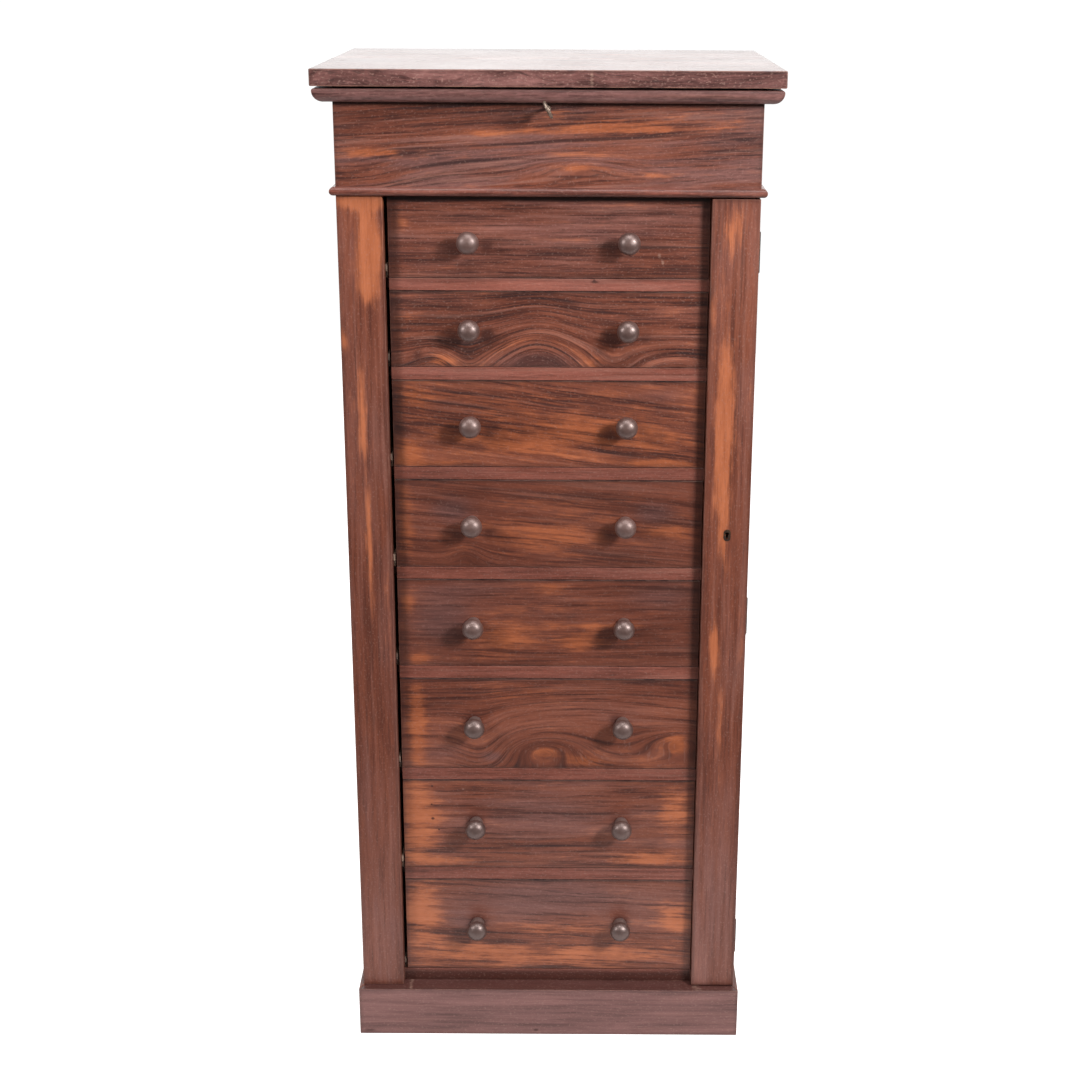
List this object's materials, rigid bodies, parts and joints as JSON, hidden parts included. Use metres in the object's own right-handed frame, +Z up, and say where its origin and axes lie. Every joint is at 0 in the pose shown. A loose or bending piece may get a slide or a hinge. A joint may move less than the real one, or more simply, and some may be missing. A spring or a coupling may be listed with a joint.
{
  "type": "chest of drawers",
  "caption": "Tall narrow rosewood chest of graduated drawers with turned knobs, a hinged locking stile, a lift-up lid over a shallow well, and a plinth base.",
  "frame": {"origin": "on the floor under the middle of the overall box", "axes": "+X to the viewer's right, +Y from the front to the back, +Z up"},
  "size_m": [0.59, 0.4952, 1.375],
  "materials": {
    "rosewood": "french-polished rosewood, dark streaks and orange patches",
    "rosewood_rail": "polished plain reddish wood",
    "knob_wood": "polished dark turned wood",
    "drawer_lining": "unpolished drawer linings",
    "carcass_wood": "unpolished softwood",
    "brass": "tarnished brass",
    "steel": "worn bright steel"
  },
  "bodies": {
    "case": {"side_panel_left": "rosewood", "side_panel_right": "rosewood", "back_boards": "carcass_wood", "well_floor": "carcass_wood", "case_bottom": "carcass_wood", "frieze_board": "rosewood", "bead_moulding": "rosewood", "top_moulding": "rosewood", "fixed_stile": "rosewood", "front_posts": "carcass_wood", "drawer_rails": "rosewood_rail", "dust_boards": "carcass_wood", "drawer_runners": "carcass_wood", "drawer_guides": "carcass_wood", "drawer_stops": "carcass_wood", "plinth_front": "rosewood", "plinth_returns": "rosewood", "plinth_glue_blocks": "carcass_wood", "lid_lock_case": "brass", "lid_hinge_case_leaves": "brass", "stile_hinge_case_leaves": "brass", "hinge_pins": "brass", "stile_strike_plate": "brass", "case_screws": "steel"},
    "lid": {"lid_panel": "rosewood", "lid_hinge_leaves": "brass", "lid_link_plate": "brass", "lid_screws": "steel"},
    "key": {"lid_key": "steel"},
    "lid_bolt": {"lid_lock_bolt": "brass"},
    "stile": {"locking_stile": "rosewood", "stile_hinge_leaves": "brass", "stile_lock_case": "brass", "stile_escutcheon": "steel", "stile_screws": "steel"},
    "stile_bolt": {"stile_lock_bolt": "brass"},
    "drawer_1": {"drawer_1_front": "rosewood", "drawer_1_box": "drawer_lining", "drawer_1_knobs": "knob_wood"},
    "drawer_2": {"drawer_2_front": "rosewood", "drawer_2_box": "drawer_lining", "drawer_2_knobs": "knob_wood"},
    "drawer_3": {"drawer_3_front": "rosewood", "drawer_3_box": "drawer_lining", "drawer_3_knobs": "knob_wood"},
    "drawer_4": {"drawer_4_front": "rosewood", "drawer_4_box": "drawer_lining", "drawer_4_knobs": "knob_wood"},
    "drawer_5": {"drawer_5_front": "rosewood", "drawer_5_box": "drawer_lining", "drawer_5_knobs": "knob_wood"},
    "drawer_6": {"drawer_6_front": "rosewood", "drawer_6_box": "drawer_lining", "drawer_6_knobs": "knob_wood"},
    "drawer_7": {"drawer_7_front": "rosewood", "drawer_7_box": "drawer_lining", "drawer_7_knobs": "knob_wood"},
    "drawer_8": {"drawer_8_front": "rosewood", "drawer_8_box": "drawer_lining", "drawer_8_knobs": "knob_wood"}
  },
  "joints": [
    {"name": "lid_hinge", "type": "hinge", "parent": "case", "child": "lid", "pos_m": [0, 0.24465, 1.3539], "axis": [-1, 0, 0], "range_deg": [0, 95]},
    {"name": "key_turn", "type": "hinge", "parent": "case", "child": "key", "pos_m": [0, -0.19775, 1.328], "axis": [0, 1, 0], "range_deg": [0, 300]},
    {"name": "lid_bolt_slide", "type": "slide", "parent": "case", "child": "lid_bolt", "axis": [1, 0, 0], "range_m": [0, 0.006]},
    {"name": "stile_hinge", "type": "hinge", "parent": "case", "child": "stile", "pos_m": [0.2705, -0.17775, 0.645], "axis": [0, 0, 1], "range_deg": [0, 180]},
    {"name": "stile_bolt_slide", "type": "slide", "parent": "stile", "child": "stile_bolt", "axis": [0, 0, 1], "range_m": [0, 0.006]},
    {"name": "drawer_1_slide", "type": "slide", "parent": "case", "child": "drawer_1", "axis": [0, -1, 0], "range_m": [0, 0.3]},
    {"name": "drawer_2_slide", "type": "slide", "parent": "case", "child": "drawer_2", "axis": [0, -1, 0], "range_m": [0, 0.3]},
    {"name": "drawer_3_slide", "type": "slide", "parent": "case", "child": "drawer_3", "axis": [0, -1, 0], "range_m": [0, 0.3]},
    {"name": "drawer_4_slide", "type": "slide", "parent": "case", "child": "drawer_4", "axis": [0, -1, 0], "range_m": [0, 0.3]},
    {"name": "drawer_5_slide", "type": "slide", "parent": "case", "child": "drawer_5", "axis": [0, -1, 0], "range_m": [0, 0.3]},
    {"name": "drawer_6_slide", "type": "slide", "parent": "case", "child": "drawer_6", "axis": [0, -1, 0], "range_m": [0, 0.3]},
    {"name": "drawer_7_slide", "type": "slide", "parent": "case", "child": "drawer_7", "axis": [0, -1, 0], "range_m": [0, 0.3]},
    {"name": "drawer_8_slide", "type": "slide", "parent": "case", "child": "drawer_8", "axis": [0, -1, 0], "range_m": [0, 0.3]}
  ],
  "couplings": [
    {"joint": "lid_bolt_slide", "follows": "key_turn", "m_per_rad": 0.001145}
  ]
}
